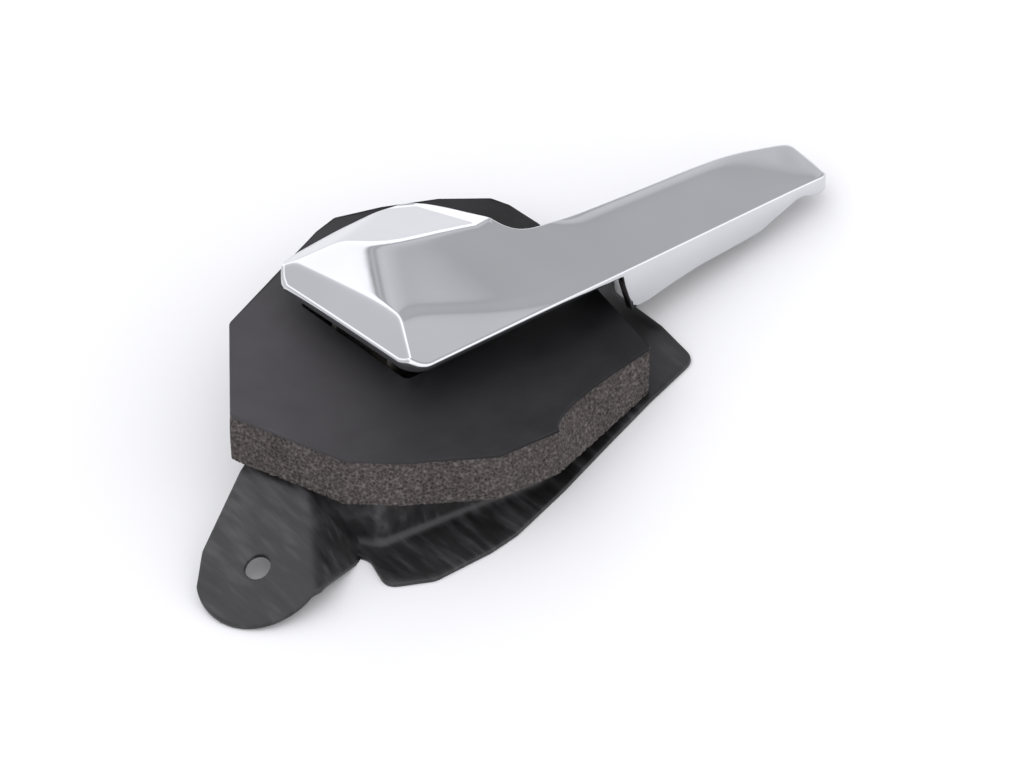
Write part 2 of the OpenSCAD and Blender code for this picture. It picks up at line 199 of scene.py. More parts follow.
# outward normals of a closed outline, in plan
def outlineNormals(outline):
    t = np.roll(outline, -1, 0) - np.roll(outline, 1, 0)
    n = np.stack([t[:, 1], -t[:, 0]], -1)
    return n / np.maximum(np.linalg.norm(n, axis=1), 1e-9)[:, None]


# tube of the given radius carried along a path, with domed ends
def tubeAlong(name, path, radius, sides=14):
    t = np.gradient(path, axis=0)
    t /= np.linalg.norm(t, axis=1)[:, None]
    side = np.cross(t, [0, 1, 0])
    side /= np.linalg.norm(side, axis=1)[:, None]
    up = np.cross(side, t)
    a = np.linspace(0, 2 * np.pi, sides, endpoint=False)
    ring = np.cos(a)[None, :, None] * side[:, None] + np.sin(a)[None, :, None] * up[:, None]
    body = path[:, None] + radius * ring
    tip0 = path[0] - t[0] * radius * 0.5 + radius * 0.7 * ring[0]
    tip1 = path[-1] + t[-1] * radius * 0.5 + radius * 0.7 * ring[-1]
    rows = np.concatenate([tip0[None], body, tip1[None]])
    n = len(rows)
    poles = np.stack([path[0] - t[0] * radius * 0.7, path[-1] + t[-1] * radius * 0.7])
    points = np.vstack([rows.reshape(-1, 3), poles])
    faces = [gridFaces(n, sides, closeCols=True), fanFaces(np.arange(sides), n * sides, True),
             fanFaces(np.arange((n - 1) * sides, n * sides), n * sides + 1)]
    return makeMesh(name, points, faces, 60)


# lever
lever = {"endX": -2.3, "endSkew": 1.7, "tipX": 140.0, "tipSkew": 0.4,
         "leadX": 4.2, "leadRadius": 6.4, "leadDepth": 6.2, "roundX": 137.5, "roundRadius": 1.6,
         "wall": 2.2, "roof": 1.8, "edge": 0.7, "rim": 0.55, "skirtStart": 69.4,
         "mainSoft": 1.6, "creaseSoft": 1.5, "edgeSoft": 0.4, "lowest": 0.4, "lowSoft": 0.15,
         "stations": 300, "across": 96, "neck": (0.345, 0.402), "neckStations": 80}
# planes of the face: height at the datum, rise along the arm, rise across it
leverPlanes = {"main": (8.5, -0.192, 0.21), "grip": (0.45, 0, 0.235), "end": (10.3, 0.273, -0.071),
               "endWall": (3.6648, 1.6, 0.0592), "near": (0.5, 0, 0.75), "farEnd": (45.2, 0.03, -0.73),
               "far": (28.5, -0.192, -0.33), "strip": (7.7, -0.0171, -0.05), "tip": (14.51, -0.106, -0.106)}
farOutline = np.array([[-4.1, 51.5], [-3.2, 54], [-1, 56.4], [1.6, 58.3], [5.2, 60.2], [9.7, 61.6],
                       [17.5, 62.7], [24.5, 63.1], [31, 62.9], [37.5, 62.6], [42, 62.1], [45, 61.2],
                       [47.2, 59.6], [48.6, 57], [49.3, 53], [49.8, 48.5], [50.1, 44], [50.4, 39.5],
                       [50.8, 35], [51.4, 31.6], [52.4, 29.2], [53.8, 27.3], [56, 25.7], [59, 24.7],
                       [63.5, 24.1], [69, 23.8], [79, 23], [95, 21.8], [111.7, 20.7], [118, 20.1],
                       [124.6, 19.1], [130.3, 17.9], [134, 17.1], [137.2, 16.3], [138.7, 15.6],
                       [139.6, 14.2], [140, 12]])
skirtLine = np.array([[69.2, 1.2], [69.7, 4.2], [72.4, 13.2], [78.3, 12.7], [85, 11.3], [95.4, 9.6],
                      [112.4, 8.5], [117.5, 7.9], [121, 6.4], [126, 4.6], [129, 3.4], [131.5, 3.2],
                      [134, 4.2], [137, 5.0], [140, 4.7]])


# smallest of several heights, rounded over where two are close
def softMin(values, softness):
    v = np.stack(values)
    low = v.min(0)
    return low - softness * np.log(np.exp(-(v - low) / softness).sum(0))


# monotone cubic through the far outline, so that it has no kinks
def smoothLine(points, x):
    px, py = points[:, 0], points[:, 1]
    h = np.diff(px)
    d = np.diff(py) / h
    middle = np.where(d[1:] * d[:-1] > 0, 2 * d[1:] * d[:-1] / (d[1:] + d[:-1] + 1e-12), 0)
    m = np.concatenate([[d[0]], middle, [d[-1]]])
    k = np.clip(np.searchsorted(px, x) - 1, 0, len(h) - 1)
    t = np.clip((x - px[k]) / h[k], 0, 1)
    return ((1 + 2 * t) * (1 - t) ** 2 * py[k] + t * (1 - t) ** 2 * h[k] * m[k]
            + t * t * (3 - 2 * t) * py[k + 1] + t * t * (t - 1) * h[k] * m[k + 1])


def planeHeight(name, x, y):
    height, along, over = leverPlanes[name]
    return height + along * x + over * y


# lever face: the lowest of its planes, where main and grip meet in a soft valley, the far plane stops
# falling along the arm past x = 46, the strip starts gently at x = 74, and the tip facet hangs from main
def leverHeight(x, y):
    main = -softMin([-planeHeight("main", x, y), -planeHeight("grip", x, y)], lever["mainSoft"])
    top = softMin([main, planeHeight("end", x, y)], lever["creaseSoft"])
    far = planeHeight("far", np.minimum(x, 46), y)
    strip = planeHeight("strip", x, y) + 0.012 * np.maximum(0, 74 - x) ** 2
    tip = main + planeHeight("tip", x, y)
    sides = [planeHeight(name, x, y) for name in ("endWall", "near")]
    low = softMin([top + 0.3, *sides, far, planeHeight("farEnd", x, y), strip, tip], lever["edgeSoft"])
    return -softMin([-low, np.full(low.shape, -lever["lowest"])], lever["lowSoft"])


# near outline: straight, drawn in along an ellipse at the head's corner and a small round at the tip
def nearLine(x):
    r, depth, small = lever["leadRadius"], lever["leadDepth"], lever["roundRadius"]
    lead = depth - np.sqrt(np.maximum(0.01, r ** 2 - (x - lever["leadX"]) ** 2)) * depth / r
    tail = small - np.sqrt(np.maximum(0, small ** 2 - (x - lever["roundX"]) ** 2 * 0.4))
    return np.where(x < lever["leadX"], lead, np.where(x > lever["roundX"], tail, 0))


# how far a far-edge point moves in x and y when the outline is drawn in by 1; straight across near
# the two ends, where the end rows are drawn in on their own
def farInward(x):
    slope = (smoothLine(farOutline, x + 0.4) - smoothLine(farOutline, x - 0.4)) / 0.8
    size = np.sqrt(1 + slope * slope)
    share = np.clip(np.minimum((x - 20) / 15, (125 - x) / 10), 0, 1)
    return share * slope / size, 1 - share + share / size


# plan of grid point (u, v): across from the near to the far outline, drawn in by t
def leverPlan(u, v, t):
    x0 = lever["endX"] - lever["endSkew"] * v
    x1 = lever["tipX"] - lever["tipSkew"] * v * v
    full = x0 + (x1 - x0) * u
    inX, inY = farInward(full)
    a, b = nearLine(full) + t, smoothLine(farOutline, full) - t * inY
    return full + t * (1 - 2 * u) + t * v * inX, a + (b - a) * v


# height of the skirt's lower edge
def skirtHeight(x):
    return -np.interp(x, skirtLine[:, 0], skirtLine[:, 1])


# even steps, packed towards both ends
def endPacked(count, strength):
    s = np.linspace(0, 1, count)
    return (1 - strength) * s + strength * (0.5 - 0.5 * np.cos(np.pi * s))


# shell: face grid, the same grid drawn in and dropped for the hollow side, and rim rings between them
def makeLeverShell():
    u = endPacked(lever["stations"], 0.6)
    step = (lever["skirtStart"] - lever["endX"]) / (lever["tipX"] - lever["endX"])
    neck = np.linspace(*lever["neck"], lever["neckStations"])   # closer where the far outline turns steeply
    u = np.concatenate([u[(u < neck[0] - 0.001) | (u > neck[-1] + 0.001)], neck])
    u = np.sort(np.concatenate([u, step + np.array([-0.0025, -0.0018, 0, 0.0018, 0.0025])]))
    v = endPacked(lever["across"], 0.7)
    nu, nv = len(u), len(v)
    U, V = np.meshgrid(u, v, indexing="ij")

    def sheet(t, drop):
        x, y = leverPlan(U, V, t)
        z = leverHeight(x, y) - drop
        return np.stack([x, y, z], -1)

    outer = sheet(lever["edge"], 0.0)
    inner = sheet(lever["wall"], lever["roof"])
    inner[..., 2] = np.maximum(inner[..., 2], skirtHeight(inner[..., 0]) + 0.2)
    loop = np.concatenate([np.arange(nu - 1) * nv, (nu - 1) * nv + np.arange(nv - 1),
                           np.arange(nu - 1, 0, -1) * nv + nv - 1, np.arange(nv - 1, 0, -1)])

    def rimRing(t, height, shift=0.0):
        x, y = leverPlan(U, V, t)
        return np.stack([x.ravel()[loop] + shift, y.ravel()[loop], height], -1)

    topZ = outer.reshape(-1, 3)[loop, 2]
    lowX = leverPlan(U, V, 0.0)[0].ravel()[loop]
    lowZ = skirtHeight(lowX)
    e, rim = lever["edge"], lever["rim"]
    slope = (skirtHeight(lowX + rim) - skirtHeight(lowX - rim)) / (2 * rim)
    upX, upZ = -slope / np.sqrt(1 + slope ** 2), 1 / np.sqrt(1 + slope ** 2)

    # rim ring set in from the skirt's lower edge, square to the edge
    def lowRing(t, inset):
        return rimRing(t, lowZ + inset * upZ, inset * upX)

    rings = [rimRing(e * 0.35, topZ - e * 0.22), rimRing(0.0, topZ - e),
             rimRing(0.0, (topZ - e) * 0.5 + (lowZ + rim) * 0.5, rim * upX * 0.5),
             lowRing(0.0, rim), lowRing(rim * 0.1, rim * 0.56), lowRing(rim * 0.3, rim * 0.29),
             lowRing(rim * 0.56, rim * 0.1), lowRing(rim, 0.0),
             rimRing(lever["wall"] - 0.25, lowZ), rimRing(lever["wall"], lowZ + 0.15)]
    n, m = nu * nv, len(loop)
    points = np.vstack([outer.reshape(-1, 3), inner.reshape(-1, 3)] + rings)
    nxt = np.roll(np.arange(m), -1)
    starts = [2 * n + k * m for k in range(len(rings))]
    sets = [gridFaces(nu, nv)[:, ::-1]]
    sets.append(np.stack([loop, loop[nxt], starts[0] + nxt, starts[0] + np.arange(m)], -1)[:, ::-1])
    for a, b in zip(starts[:-1], starts[1:]):
        sets.append(np.stack([a + np.arange(m), a + nxt, b + nxt, b + np.arange(m)], -1)[:, ::-1])
    last = starts[-1]
    sets.append(np.stack([last + np.arange(m), last + nxt, n + loop[nxt], n + loop], -1)[:, ::-1])
    sets.append(gridFaces(nu, nv, start=n))
    shell = makeMesh("leverShell", deckToRow(points), sets, 50)
    within = np.zeros(len(points))
    within[n:2 * n] = 1                    # the cast inside keeps no plating
    within[last:] = 1
    shell.data.attributes.new("inside", "FLOAT", "POINT").data.foreach_set("value", within)
    return shell


lug = {"boss": 6.0, "front": 12.6, "back": 7.0, "roofX": (22, 2), "sunk": 0.7, "edge": 0.5, "around": 160,
       "near": (10, 14, 10), "far": (43, 48, 48)}


# lug: the boss circle about the pivot, flared up to the roof, carried from y0 to y1
def makeLug(name, y0, y1, yRoof):
    px, pz, count, e = deck["pivotX"], deck["pivotZ"], lug["around"], lug["edge"]
    a = np.linspace(math.radians(200), math.radians(340), 28)
    low = np.stack([px + lug["boss"] * np.cos(a), pz + lug["boss"] * np.sin(a)], -1)
    roofX = np.linspace(*lug["roofX"], 16)
    roof = np.stack([roofX, leverHeight(roofX, np.full(16, yRoof)) - lug["sunk"]], -1)
    corners = np.vstack([low, [[px + lug["front"], roof[0, 1] - 2]], roof, [[px - lug["back"], pz + 4]]])
    outline = evenSteps(roundOutline(corners, 0.8, 3), count)
    outward = outlineNormals(outline)
    rows = [(y0, -e), (y0 + 0.15, -0.15), (y0 + e, 0), (y1 - e, 0), (y1 - 0.15, -0.15), (y1, -e)]
    body = np.stack([np.insert(outline + outward * d, 1, y, axis=1) for y, d in rows])
    points = np.vstack([body.reshape(-1, 3), body[[0, -1]].mean(1)])
    total, around = len(rows) * count, np.arange(count)
    faces = [gridFaces(len(rows), count, closeCols=True), fanFaces(around, total, True),
             fanFaces(around + total - count, total + 1)]
    return makeMesh(name, deckToRow(points), faces, 50)


leverShell = joinPieces("leverCasting", [makeLeverShell(), makeLug("nearLug", *lug["near"]),
                                         makeLug("farLug", *lug["far"])])
print("lever made")

# pad: foam block and its skin
pad = {"foamTop": -8.8, "foamLow": -22.6, "flangeTop": 1.5, "cornerRadius": 2.5, "around": 1300,
       "up": 52, "poreSize": 1.05, "poreDepth": 0.5, "waveDepth": 0.25, "bulge": 0.35, "lean": 3.5,
       "leanSide": (5, 6), "skinEdge": 0.35, "skinAround": 900, "swellDepth": 0.22}
padCorners = [[-17.8, 57.9], [-43.9, 25.4], [-33.3, -9.4], [-22.7, -19.3], [-0.3, -33.6], [19, -34.9],
              [61.3, -21.6], [66.5, 5], [74, 40.4], [73.4, 52], [71.5, 57.6], [60.5, 66.3],
              [46.5, 73], [33.6, 77.2], [26, 75.4]]
padCentre = np.array([15.5, 31.0])


# rectangle with rounded corners, in even steps
def windowOutline(x0, x1, y0, y1, radius):
    return evenSteps(roundOutline([[x0, y0], [x1, y0], [x1, y1], [x0, y1]], radius), 800)


# ring between a window and the pad's outline: profile rows of (share outwards, height, drawn in);
# one side's face leans in towards the top, most at its middle
def padRing(around, window, rows, shrink):
    outline = evenSteps(roundOutline(padCorners, pad["cornerRadius"]), around)
    normal = outlineNormals(outline)
    ang = np.arctan2(*(outline - padCentre).T[::-1])
    inside = rayHits(window, padCentre, ang)
    share, height, inward = np.array(rows, float).T[:, :, None, None]
    low, high = pad["foamLow"], pad["foamTop"]
    lift = np.clip((height - low) / (high - low), 0, 1)
    a, b = (np.array(padCorners[k], float) for k in pad["leanSide"])
    along = np.clip(((outline - a) @ (b - a)) / ((b - a) @ (b - a)), 0, 1)
    beside = np.abs((outline - a) @ np.array([a[1] - b[1], b[0] - a[0]])) / np.linalg.norm(b - a) < 2
    lean = pad["lean"] * np.sin(np.pi * along ** 0.6) * beside
    edge = outline[None] - normal[None] * (inward + shrink + lean[None, :, None] * lift)
    plan = inside[None] + (edge - inside[None]) * share
    return np.concatenate([plan, np.broadcast_to(height, plan.shape[:2] + (1,))], -1), normal


# foam block: its side moved in and out by pores, slow waves and a slight bulge
def makeFoam():
    top, low = pad["foamTop"], pad["foamLow"]
    h = top - low
    side = [(1.0, low + h * k, 0.0) for k in endPacked(pad["up"], 0.25)]
    bottom = [(s, low, 0.0) for s in (0.0, 0.35, 0.7, 0.88, 0.95, 0.985)]
    cap = [(s, top, 0.0) for s in (0.985, 0.95, 0.88, 0.6, 0.3, 0.0)]
    wall = [(0.0, low + h * k, 0.0) for k in (0.8, 0.55, 0.3, 0.1)]
    rows = bottom + side + cap + wall
    window = windowOutline(-5, 36, 6, 56, 3)
    p, normal = padRing(pad["around"], window, rows, 0.35)
    onSide = np.zeros(len(rows))
    onSide[len(bottom):len(bottom) + pad["up"]] = 1
    pores = cellDistance(p / pad["poreSize"], 3)
    fine = cellDistance(p / (pad["poreSize"] * 0.52), 5)
    waves = valueNoise(p / 9.0, 1) * pad["waveDepth"]
    pit = (np.clip(0.62 - pores, 0, 1) * 1.7 + np.clip(0.55 - fine, 0, 1) * 0.7) * pad["poreDepth"]
    bulge = pad["bulge"] * np.sin(np.pi * np.clip((p[..., 2] - low) / h, 0, 1))
    move = (waves - pit + bulge) * onSide[:, None]
    p[..., :2] += normal[None] * move[..., None]
    row = deckToRow(p)
    row[..., 2] = np.maximum(row[..., 2], pad["flangeTop"] + 0.05)   # the thin end rests on the flange
    faces = [gridFaces(len(rows), pad["around"], closeRows=True, closeCols=True)]
    return makeMesh("foamBlock", row.reshape(-1, 3), faces, 80)


# skin: a thin ring with rounded edges that dips and swells a little over the foam
def makeSkin():
    top, low, e = deck["skinTop"], pad["foamTop"], pad["skinEdge"]
    flat = list(np.linspace(0.03, 0.985, 60))
    rows = [(0.0, low, 0.0), (1.0, low, 0.0), (1.0, low + 0.2, -0.1), (1.0, top - e, 0.0),
            (1.0, top - e * 0.3, e * 0.3), (1.0, top, e)]
    rows += [(s, top, e) for s in flat[::-1]] + [(0.0, top, e), (0.0, top - 0.3, e)]
    window = windowOutline(2, 32, 8.2, 53, 2)
    p = padRing(pad["skinAround"], window, rows, 0.1)[0]
    onTop = (p[..., 2] > top - 0.01).astype(float)
    swell = valueNoise(p * [1 / 22.0, 1 / 22.0, 0] + 5, 7) * pad["swellDepth"]
    swell += valueNoise(p * [1 / 8.0, 1 / 8.0, 0] + 9, 8) * 0.05
    p[..., 2] += (swell - pad["swellDepth"]) * onTop
    faces = [gridFaces(len(rows), pad["skinAround"], closeRows=True, closeCols=True)]
    return makeMesh("padSkin", deckToRow(p).reshape(-1, 3), faces, 50)


foamBlock = makeFoam()
padSkin = makeSkin()
print("pad made")

# base: flange, raised deck, ear with its web, tail lobe
base = {"sheet": 1.5, "deckRadius": 2.2, "footRadius": 2.6, "wallRun": 40.0, "around": 900,
        "tailHole": 3.25, "earHole": 3.5, "earRadius": 17.0, "earAround": 720, "creaseSoft": 0.9}
deckCorners = [[-24.7, -13.5], [18, -27], [57, -15], [64, 2], [66, 36], [62, 52], [50, 60], [30, 68],
               [12, 67], [-14, 50], [-38, 25], [-33, 6]]
flangeCorners = [[-37.8, -10], [-36.1, -15.4], [-39.7, -26.4], [-29, -34.3], [-12, -37], [-3, -37],
                 [16.8, -33.1], [34.9, -28.5], [54.3, -23.8], [72.5, -20.2], [74.9, -4], [75.2, 16],
                 [84, 28], [85.5, 40], [79, 47], [70, 52], [58, 66], [32, 76], [12, 74], [-16, 56],
                 [-40, 30], [-41, 8]]
earCentre = np.array([-61.7, -1.2, 7.9])
webFoot = np.array([[-37, -12.5, 0.4], [-31.8, -7.6, 0.4]])
rodSlot = np.array([[4.0, 50], [14, 50], [14, 74], [4, 74]])


# deck point to base frame, without the shift to the tail hole
def deckToBase(p):
    return deckToRow(p) + np.array([deck["tailX"], deck["tailY"], 0.0])


# points of a deck outline, below the deck's top by the drop
def deckPoints(outline, drop):
    outline = np.asarray(outline, float)
    return deckToBase(np.column_stack([outline, np.full(len(outline), deck["sheetTop"] - drop)]))


def unitVector(v):
    return v / np.linalg.norm(v)


# height of the deck's top plane above the mounting plane at base-frame x
def deckPlane(x):
    t = deck["tilt"]
    return deck["height"] - x * math.tan(t) + deck["sheetTop"] / math.cos(t)


# ring from the rod window out over the deck's edge, down its wall and out along the flange;
# each row is a mix of outlines in plan with its own height rule, and the last rows come back underneath
def makeDeckRing():
    count = base["around"]
    t = base["sheet"]
    wall = evenSteps(roundOutline(deckCorners, 5), count)
    wallN = outlineNormals(wall)
    rimCentre = np.array([17.0, 47.0])
    ang = np.arctan2(*(wall - rimCentre).T[::-1])
    window = rayHits(windowOutline(0.5, 33.5, 39.3, 54.3, 0.5), rimCentre, ang)

    def deckRow(share, inset, drop):
        return deckPoints(window + (wall - wallN * inset - window) * share, drop)

    r, f = base["deckRadius"], base["footRadius"]
    rows = [deckRow(s, r, 0) for s in (0.0, 0.3, 0.6, 0.85, 1.0)]
    for a in np.linspace(0.2, math.pi / 2, 6):
        rows.append(deckRow(1.0, r * (1 - math.sin(a)), r * (1 - math.cos(a))))
    top = rows[-1]
    down = deckPoints(wall, base["wallRun"]) - top
    outN = np.column_stack([wallN, np.zeros(count)])
    reach = np.clip((top[:, 2] - (t + f)) / -down[:, 2], 0, 1)
    foot = top + down * reach[:, None]
    rows += [top + (foot - top) * k for k in (0.25, 0.5, 0.75, 1.0)]
    spare = np.clip(np.minimum(foot[:, 2], t + f) - t, 0.02, f)   # fillet shrinks as the deck runs out
    for a in np.linspace(0.25, math.pi / 2, 6):
        p = foot + outN * (spare * (1 - math.cos(a)))[:, None]
        p[:, 2] = t + spare * (1 - math.sin(a))
        rows.append(p)
    skirt = rows[-1]
    flange = evenSteps(roundOutline(flangeCorners, 5), 3 * count)
    middle = np.array([17.0, 20.0])
    edge = rayHits(flange, middle, np.arctan2(*(skirt[:, :2] - middle).T[::-1]))
    edgeN = outlineNormals(edge)

    def flangeRow(share, inset, height):
        plan = skirt[:, :2] + (edge - edgeN * inset - skirt[:, :2]) * share
        return np.column_stack([plan, np.full(count, height)])

    rows += [flangeRow(s, 0.5, t) for s in (0.3, 0.65, 0.9, 1.0)]
    rows += [flangeRow(1.0, 0.15, t - 0.12), flangeRow(1.0, 0.0, t - 0.45), flangeRow(1.0, 0.0, 0.4),
             flangeRow(1.0, 0.15, 0.1), flangeRow(1.0, 0.5, 0.0)]
    rows += [flangeRow(s, 0.5, 0.0) for s in (0.6, 0.2)]
    roof = deckRow(1.0, t + 0.8, t)
    lowWall = deckPoints(wall - wallN * t, base["wallRun"])
    high = deckRow(1.0, t, t + 0.8)
    low = high + (lowWall - high) * np.clip(high[:, 2] / (high[:, 2] - lowWall[:, 2]), 0, 1)[:, None]
    rows += [low, low + (high - low) * 0.5, high, roof]
    rows += [deckRow(0.7, t, t), deckRow(0.3, t, t), deckRow(0.0, 0, t)]
    p = np.stack(rows)
    p[..., 2] = np.maximum(p[..., 2], 0.0)
    return makeMesh("deckRing", baseToRow(p).reshape(-1, 3),
                    [gridFaces(len(rows), count, closeRows=True, closeCols=True)], 45)


# ear: ring from its hole to its edge in plan; height is the higher of the ear plane and the web plane,
# so that the two meet in a soft crease
def makeEar():
    far, near = deckPoints([[-38, 25], [-33, 6]], 0)
    n = unitVector(np.cross(far - near, earCentre - near))
    d = unitVector(earCentre - 0.5 * (far + near))
    s = np.cross(n, d)
    web = np.vstack([near, earCentre + 6 * d + 18.6 * s, webFoot])
    webN = unitVector(np.cross(web[1] - web[0], web[2] - web[0]))
    a = np.radians(np.arange(-70, 67, 4))
    r = base["earRadius"]
    tip = np.column_stack([r * np.cos(a) + 0.6, (r + np.maximum(0, np.degrees(a)) * 0.02) * np.sin(a)])
    flat = np.vstack([[[-30, -9.7], [-28, -10.5], [-4, -16.4]], tip])
    edge = earCentre + flat[:, :1] * d + flat[:, 1:] * s
    inside = deckPoints([[-30, 9], [-35, 24]], 0)
    outline = np.vstack([edge, web[1:], inside])[:, :2]
    ring = evenSteps(roundOutline(outline, 3.0, 6), base["earAround"])
    centre = earCentre[:2]
    angle = np.arctan2(*(ring - centre).T[::-1])
    hole = centre + base["earHole"] * np.column_stack([np.cos(angle), np.sin(angle)])
    ringN = outlineNormals(ring)

    def height(xy):
        ear = earCentre[2] - ((xy - centre) @ n[:2]) / n[2]
        side = web[0][2] - ((xy - web[0][:2]) @ webN[:2]) / webN[2]
        return np.minimum(softMin([ear, side], base["creaseSoft"]), deckPlane(xy[:, 0]) - 0.02)

    def row(share, inset, drop):
        xy = hole + (ring - ringN * inset - hole) * share
        return np.column_stack([xy, height(xy) - drop])

    t = base["sheet"] / n[2]
    top = [row(0.0, 0, 0.25), row(0.012, 0, 0.06), row(0.03, 0, 0.0)]
    top += [row(k, 0.45, 0.0) for k in np.linspace(0.08, 1.0, 46)]
    side = [row(1.0, 0.13, 0.13), row(1.0, 0.0, 0.45), row(1.0, 0.0, t - 0.4), row(1.0, 0.13, t - 0.1)]
    under = [row(k, 0.45, t) for k in np.linspace(1.0, 0.03, 24)]
    rows = top + side + under + [row(0.012, 0, t - 0.06), row(0.0, 0, t - 0.25)]
    p = np.stack(rows)
    p[..., 2] = np.maximum(p[..., 2], 0.0)
    return makeMesh("earSheet", baseToRow(p).reshape(-1, 3),
                    [gridFaces(len(rows), base["earAround"], closeRows=True, closeCols=True)], 45)


# closed prism on a convex outline, from one height to another
def makePrism(name, outline, low, high, place):
    n = len(outline)
    rings = [np.column_stack([outline, np.full(n, h)]) for h in (high, low)]
    points = place(np.vstack(rings + [[[*outline.mean(0), high]], [[*outline.mean(0), low]]]))
    around = np.arange(n)
    faces = [gridFaces(2, n, closeCols=True), fanFaces(around, 2 * n, True),
             fanFaces(around + n, 2 * n + 1)]
    return makeMesh(name, baseToRow(points), faces, 30)


# takes the cutter's shape out of the piece
def cutAway(piece, cutter):
    change = piece.modifiers.new("cut", "BOOLEAN")
    change.operation, change.solver, change.object = "DIFFERENCE", "EXACT", cutter
    bpy.context.view_layer.update()
    cut = bpy.data.meshes.new_from_object(piece.evaluated_get(bpy.context.evaluated_depsgraph_get()))
    piece.modifiers.clear()
    piece.data = cut
    bpy.data.objects.remove(cutter)


deckRing = makeDeckRing()
ring = np.linspace(0, 2 * np.pi, 48, endpoint=False)
screwHole = base["tailHole"] * np.column_stack([np.cos(ring), np.sin(ring)])
screwHole += [deck["tailX"], deck["tailY"]]
cutAway(deckRing, makePrism("cutter", screwHole, -2.0, 4.0, lambda q: q))
cutAway(deckRing, makePrism("cutter", rodSlot, -32.0, -24.1, deckToBase))
basePressing = joinPieces("basePressing", [deckRing, makeEar()])
print("base made")

# return spring
spring = {"wire": 1.6, "coil": 5.4, "pitch": 1.95, "coils": 7, "middle": 27.4, "endTurn": 60,
          "legUp": 9.4, "bracket": 1.6}


# wire carried up one straight leg, round a helix about the pivot and out along the second leg
def makeSpring():
    last = math.radians((spring["coils"] - 1) * 360 + spring["endTurn"])
    a = np.linspace(0, last, 340)
    px, pz = deck["pivotX"], deck["pivotZ"]
    coil = np.column_stack([px + spring["coil"] * np.cos(a),
                            spring["middle"] + spring["pitch"] * (a / (2 * np.pi) - spring["coils"] / 2),
                            pz + spring["coil"] * np.sin(a)])
    k = np.linspace(1, 0, 30, endpoint=False)[:, None]
    floorZ = deck["sheetTop"] + spring["bracket"] + spring["wire"] / 2 + 0.1
    low = coil[0] + np.array([0, -0.2, floorZ - pz])
    legIn = coil[0] + (low - coil[0]) * k
    legOut = coil[-1] + spring["legUp"] * (1 - k) * np.array([-math.sin(last), 0.02, math.cos(last)])
    path = np.vstack([legIn, coil, legOut[1:]])
    return tubeAlong("returnSpring", deckToRow(path), spring["wire"] / 2)


returnSpring = makeSpring()


# camera
camera = {"bearing": 39.4, "height": 36.0, "lens": 1200.0, "sensor": 36.0, "viewWidth": 269.4737,
          "aimRight": 24.2105, "aimUp": -3.1579}


# camera frame from the bearing and height in the deck frame, turned by the deck's tilt; it stands so
# far back that the view at the aim point is as wide as viewWidth
def makeCamera():
    a, e = math.radians(camera["bearing"]), math.radians(camera["height"])
    right = Vector((math.cos(a), -math.sin(a), 0))
    back = Vector((-math.sin(a) * math.cos(e), -math.cos(a) * math.cos(e), math.sin(e)))
    up = back.cross(right)
    turn = Matrix.Rotation(deck["tilt"], 3, "Y")
    right, up, back = (turn @ w for w in (right, up, back))
    datum = Vector((-deck["tailX"], -deck["tailY"], deck["height"]))
    aim = (datum + right * camera["aimRight"] + up * camera["aimUp"]) * mm
    data = bpy.data.cameras.new("camera")
    data.lens, data.sensor_width = camera["lens"], camera["sensor"]
    away = camera["viewWidth"] * camera["lens"] / camera["sensor"]
    item = bpy.data.objects.new("camera", data)
    turnTo = Matrix((right, up, back)).transposed().to_4x4()
    item.matrix_world = Matrix.Translation(aim + back * (away * mm)) @ turnTo
    data.clip_start, data.clip_end = 0.05, 20
    bpy.context.scene.collection.objects.link(item)
    bpy.context.scene.camera = item


makeCamera()

# finishes
# a shader with its node tree; uniform values go straight on the shader's sockets
def newFinish(name, colour, metallic, roughness, specular=0.5):
    mat = bpy.data.materials.new(name)
    mat.use_nodes = True
    shader = mat.node_tree.nodes["Principled BSDF"]
    shader.inputs["Base Color"].default_value = (*colour, 1)
    shader.inputs["Metallic"].default_value = metallic
    shader.inputs["Roughness"].default_value = roughness
    shader.inputs["Specular IOR Level"].default_value = specular
    return mat, shader


def link(mat, output, socket):
    mat.node_tree.links.new(output, socket)


# object coordinates, stretched and turned
def place(mat, stretch=(1, 1, 1), turn=(0, 0, 0)):
    coord = mat.node_tree.nodes.new("ShaderNodeTexCoord")
    mapping = mat.node_tree.nodes.new("ShaderNodeMapping")
    mapping.inputs["Scale"].default_value = stretch
    mapping.inputs["Rotation"].default_value = turn
    link(mat, coord.outputs["Object"], mapping.inputs["Vector"])
    return mapping.outputs["Vector"]


def noise(mat, vector, scale, detail=4.0, rough=0.55):
    node = mat.node_tree.nodes.new("ShaderNodeTexNoise")
    node.inputs["Scale"].default_value = scale
    node.inputs["Detail"].default_value = detail
    node.inputs["Roughness"].default_value = rough
    link(mat, vector, node.inputs["Vector"])
    return node.outputs["Fac"]


def cells(mat, vector, scale):
    node = mat.node_tree.nodes.new("ShaderNodeTexVoronoi")
    node.inputs["Scale"].default_value = scale
    link(mat, vector, node.inputs["Vector"])
    return node.outputs["Distance"]


# value carried from one range to another
def span(mat, value, low, high, toLow, toHigh):
    node = mat.node_tree.nodes.new("ShaderNodeMapRange")
    for key, v in (("From Min", low), ("From Max", high), ("To Min", toLow), ("To Max", toHigh)):
        node.inputs[key].default_value = v
    link(mat, value, node.inputs["Value"])
    return node.outputs["Result"]


def ramp(mat, value, stops):
    node = mat.node_tree.nodes.new("ShaderNodeValToRGB")
    while len(node.color_ramp.elements) < len(stops):
        node.color_ramp.elements.new(0.5)
    for element, (at, colour) in zip(node.color_ramp.elements, stops):
        element.position, element.color = at, (*colour, 1)
    link(mat, value, node.inputs["Fac"])
    return node.outputs["Color"]


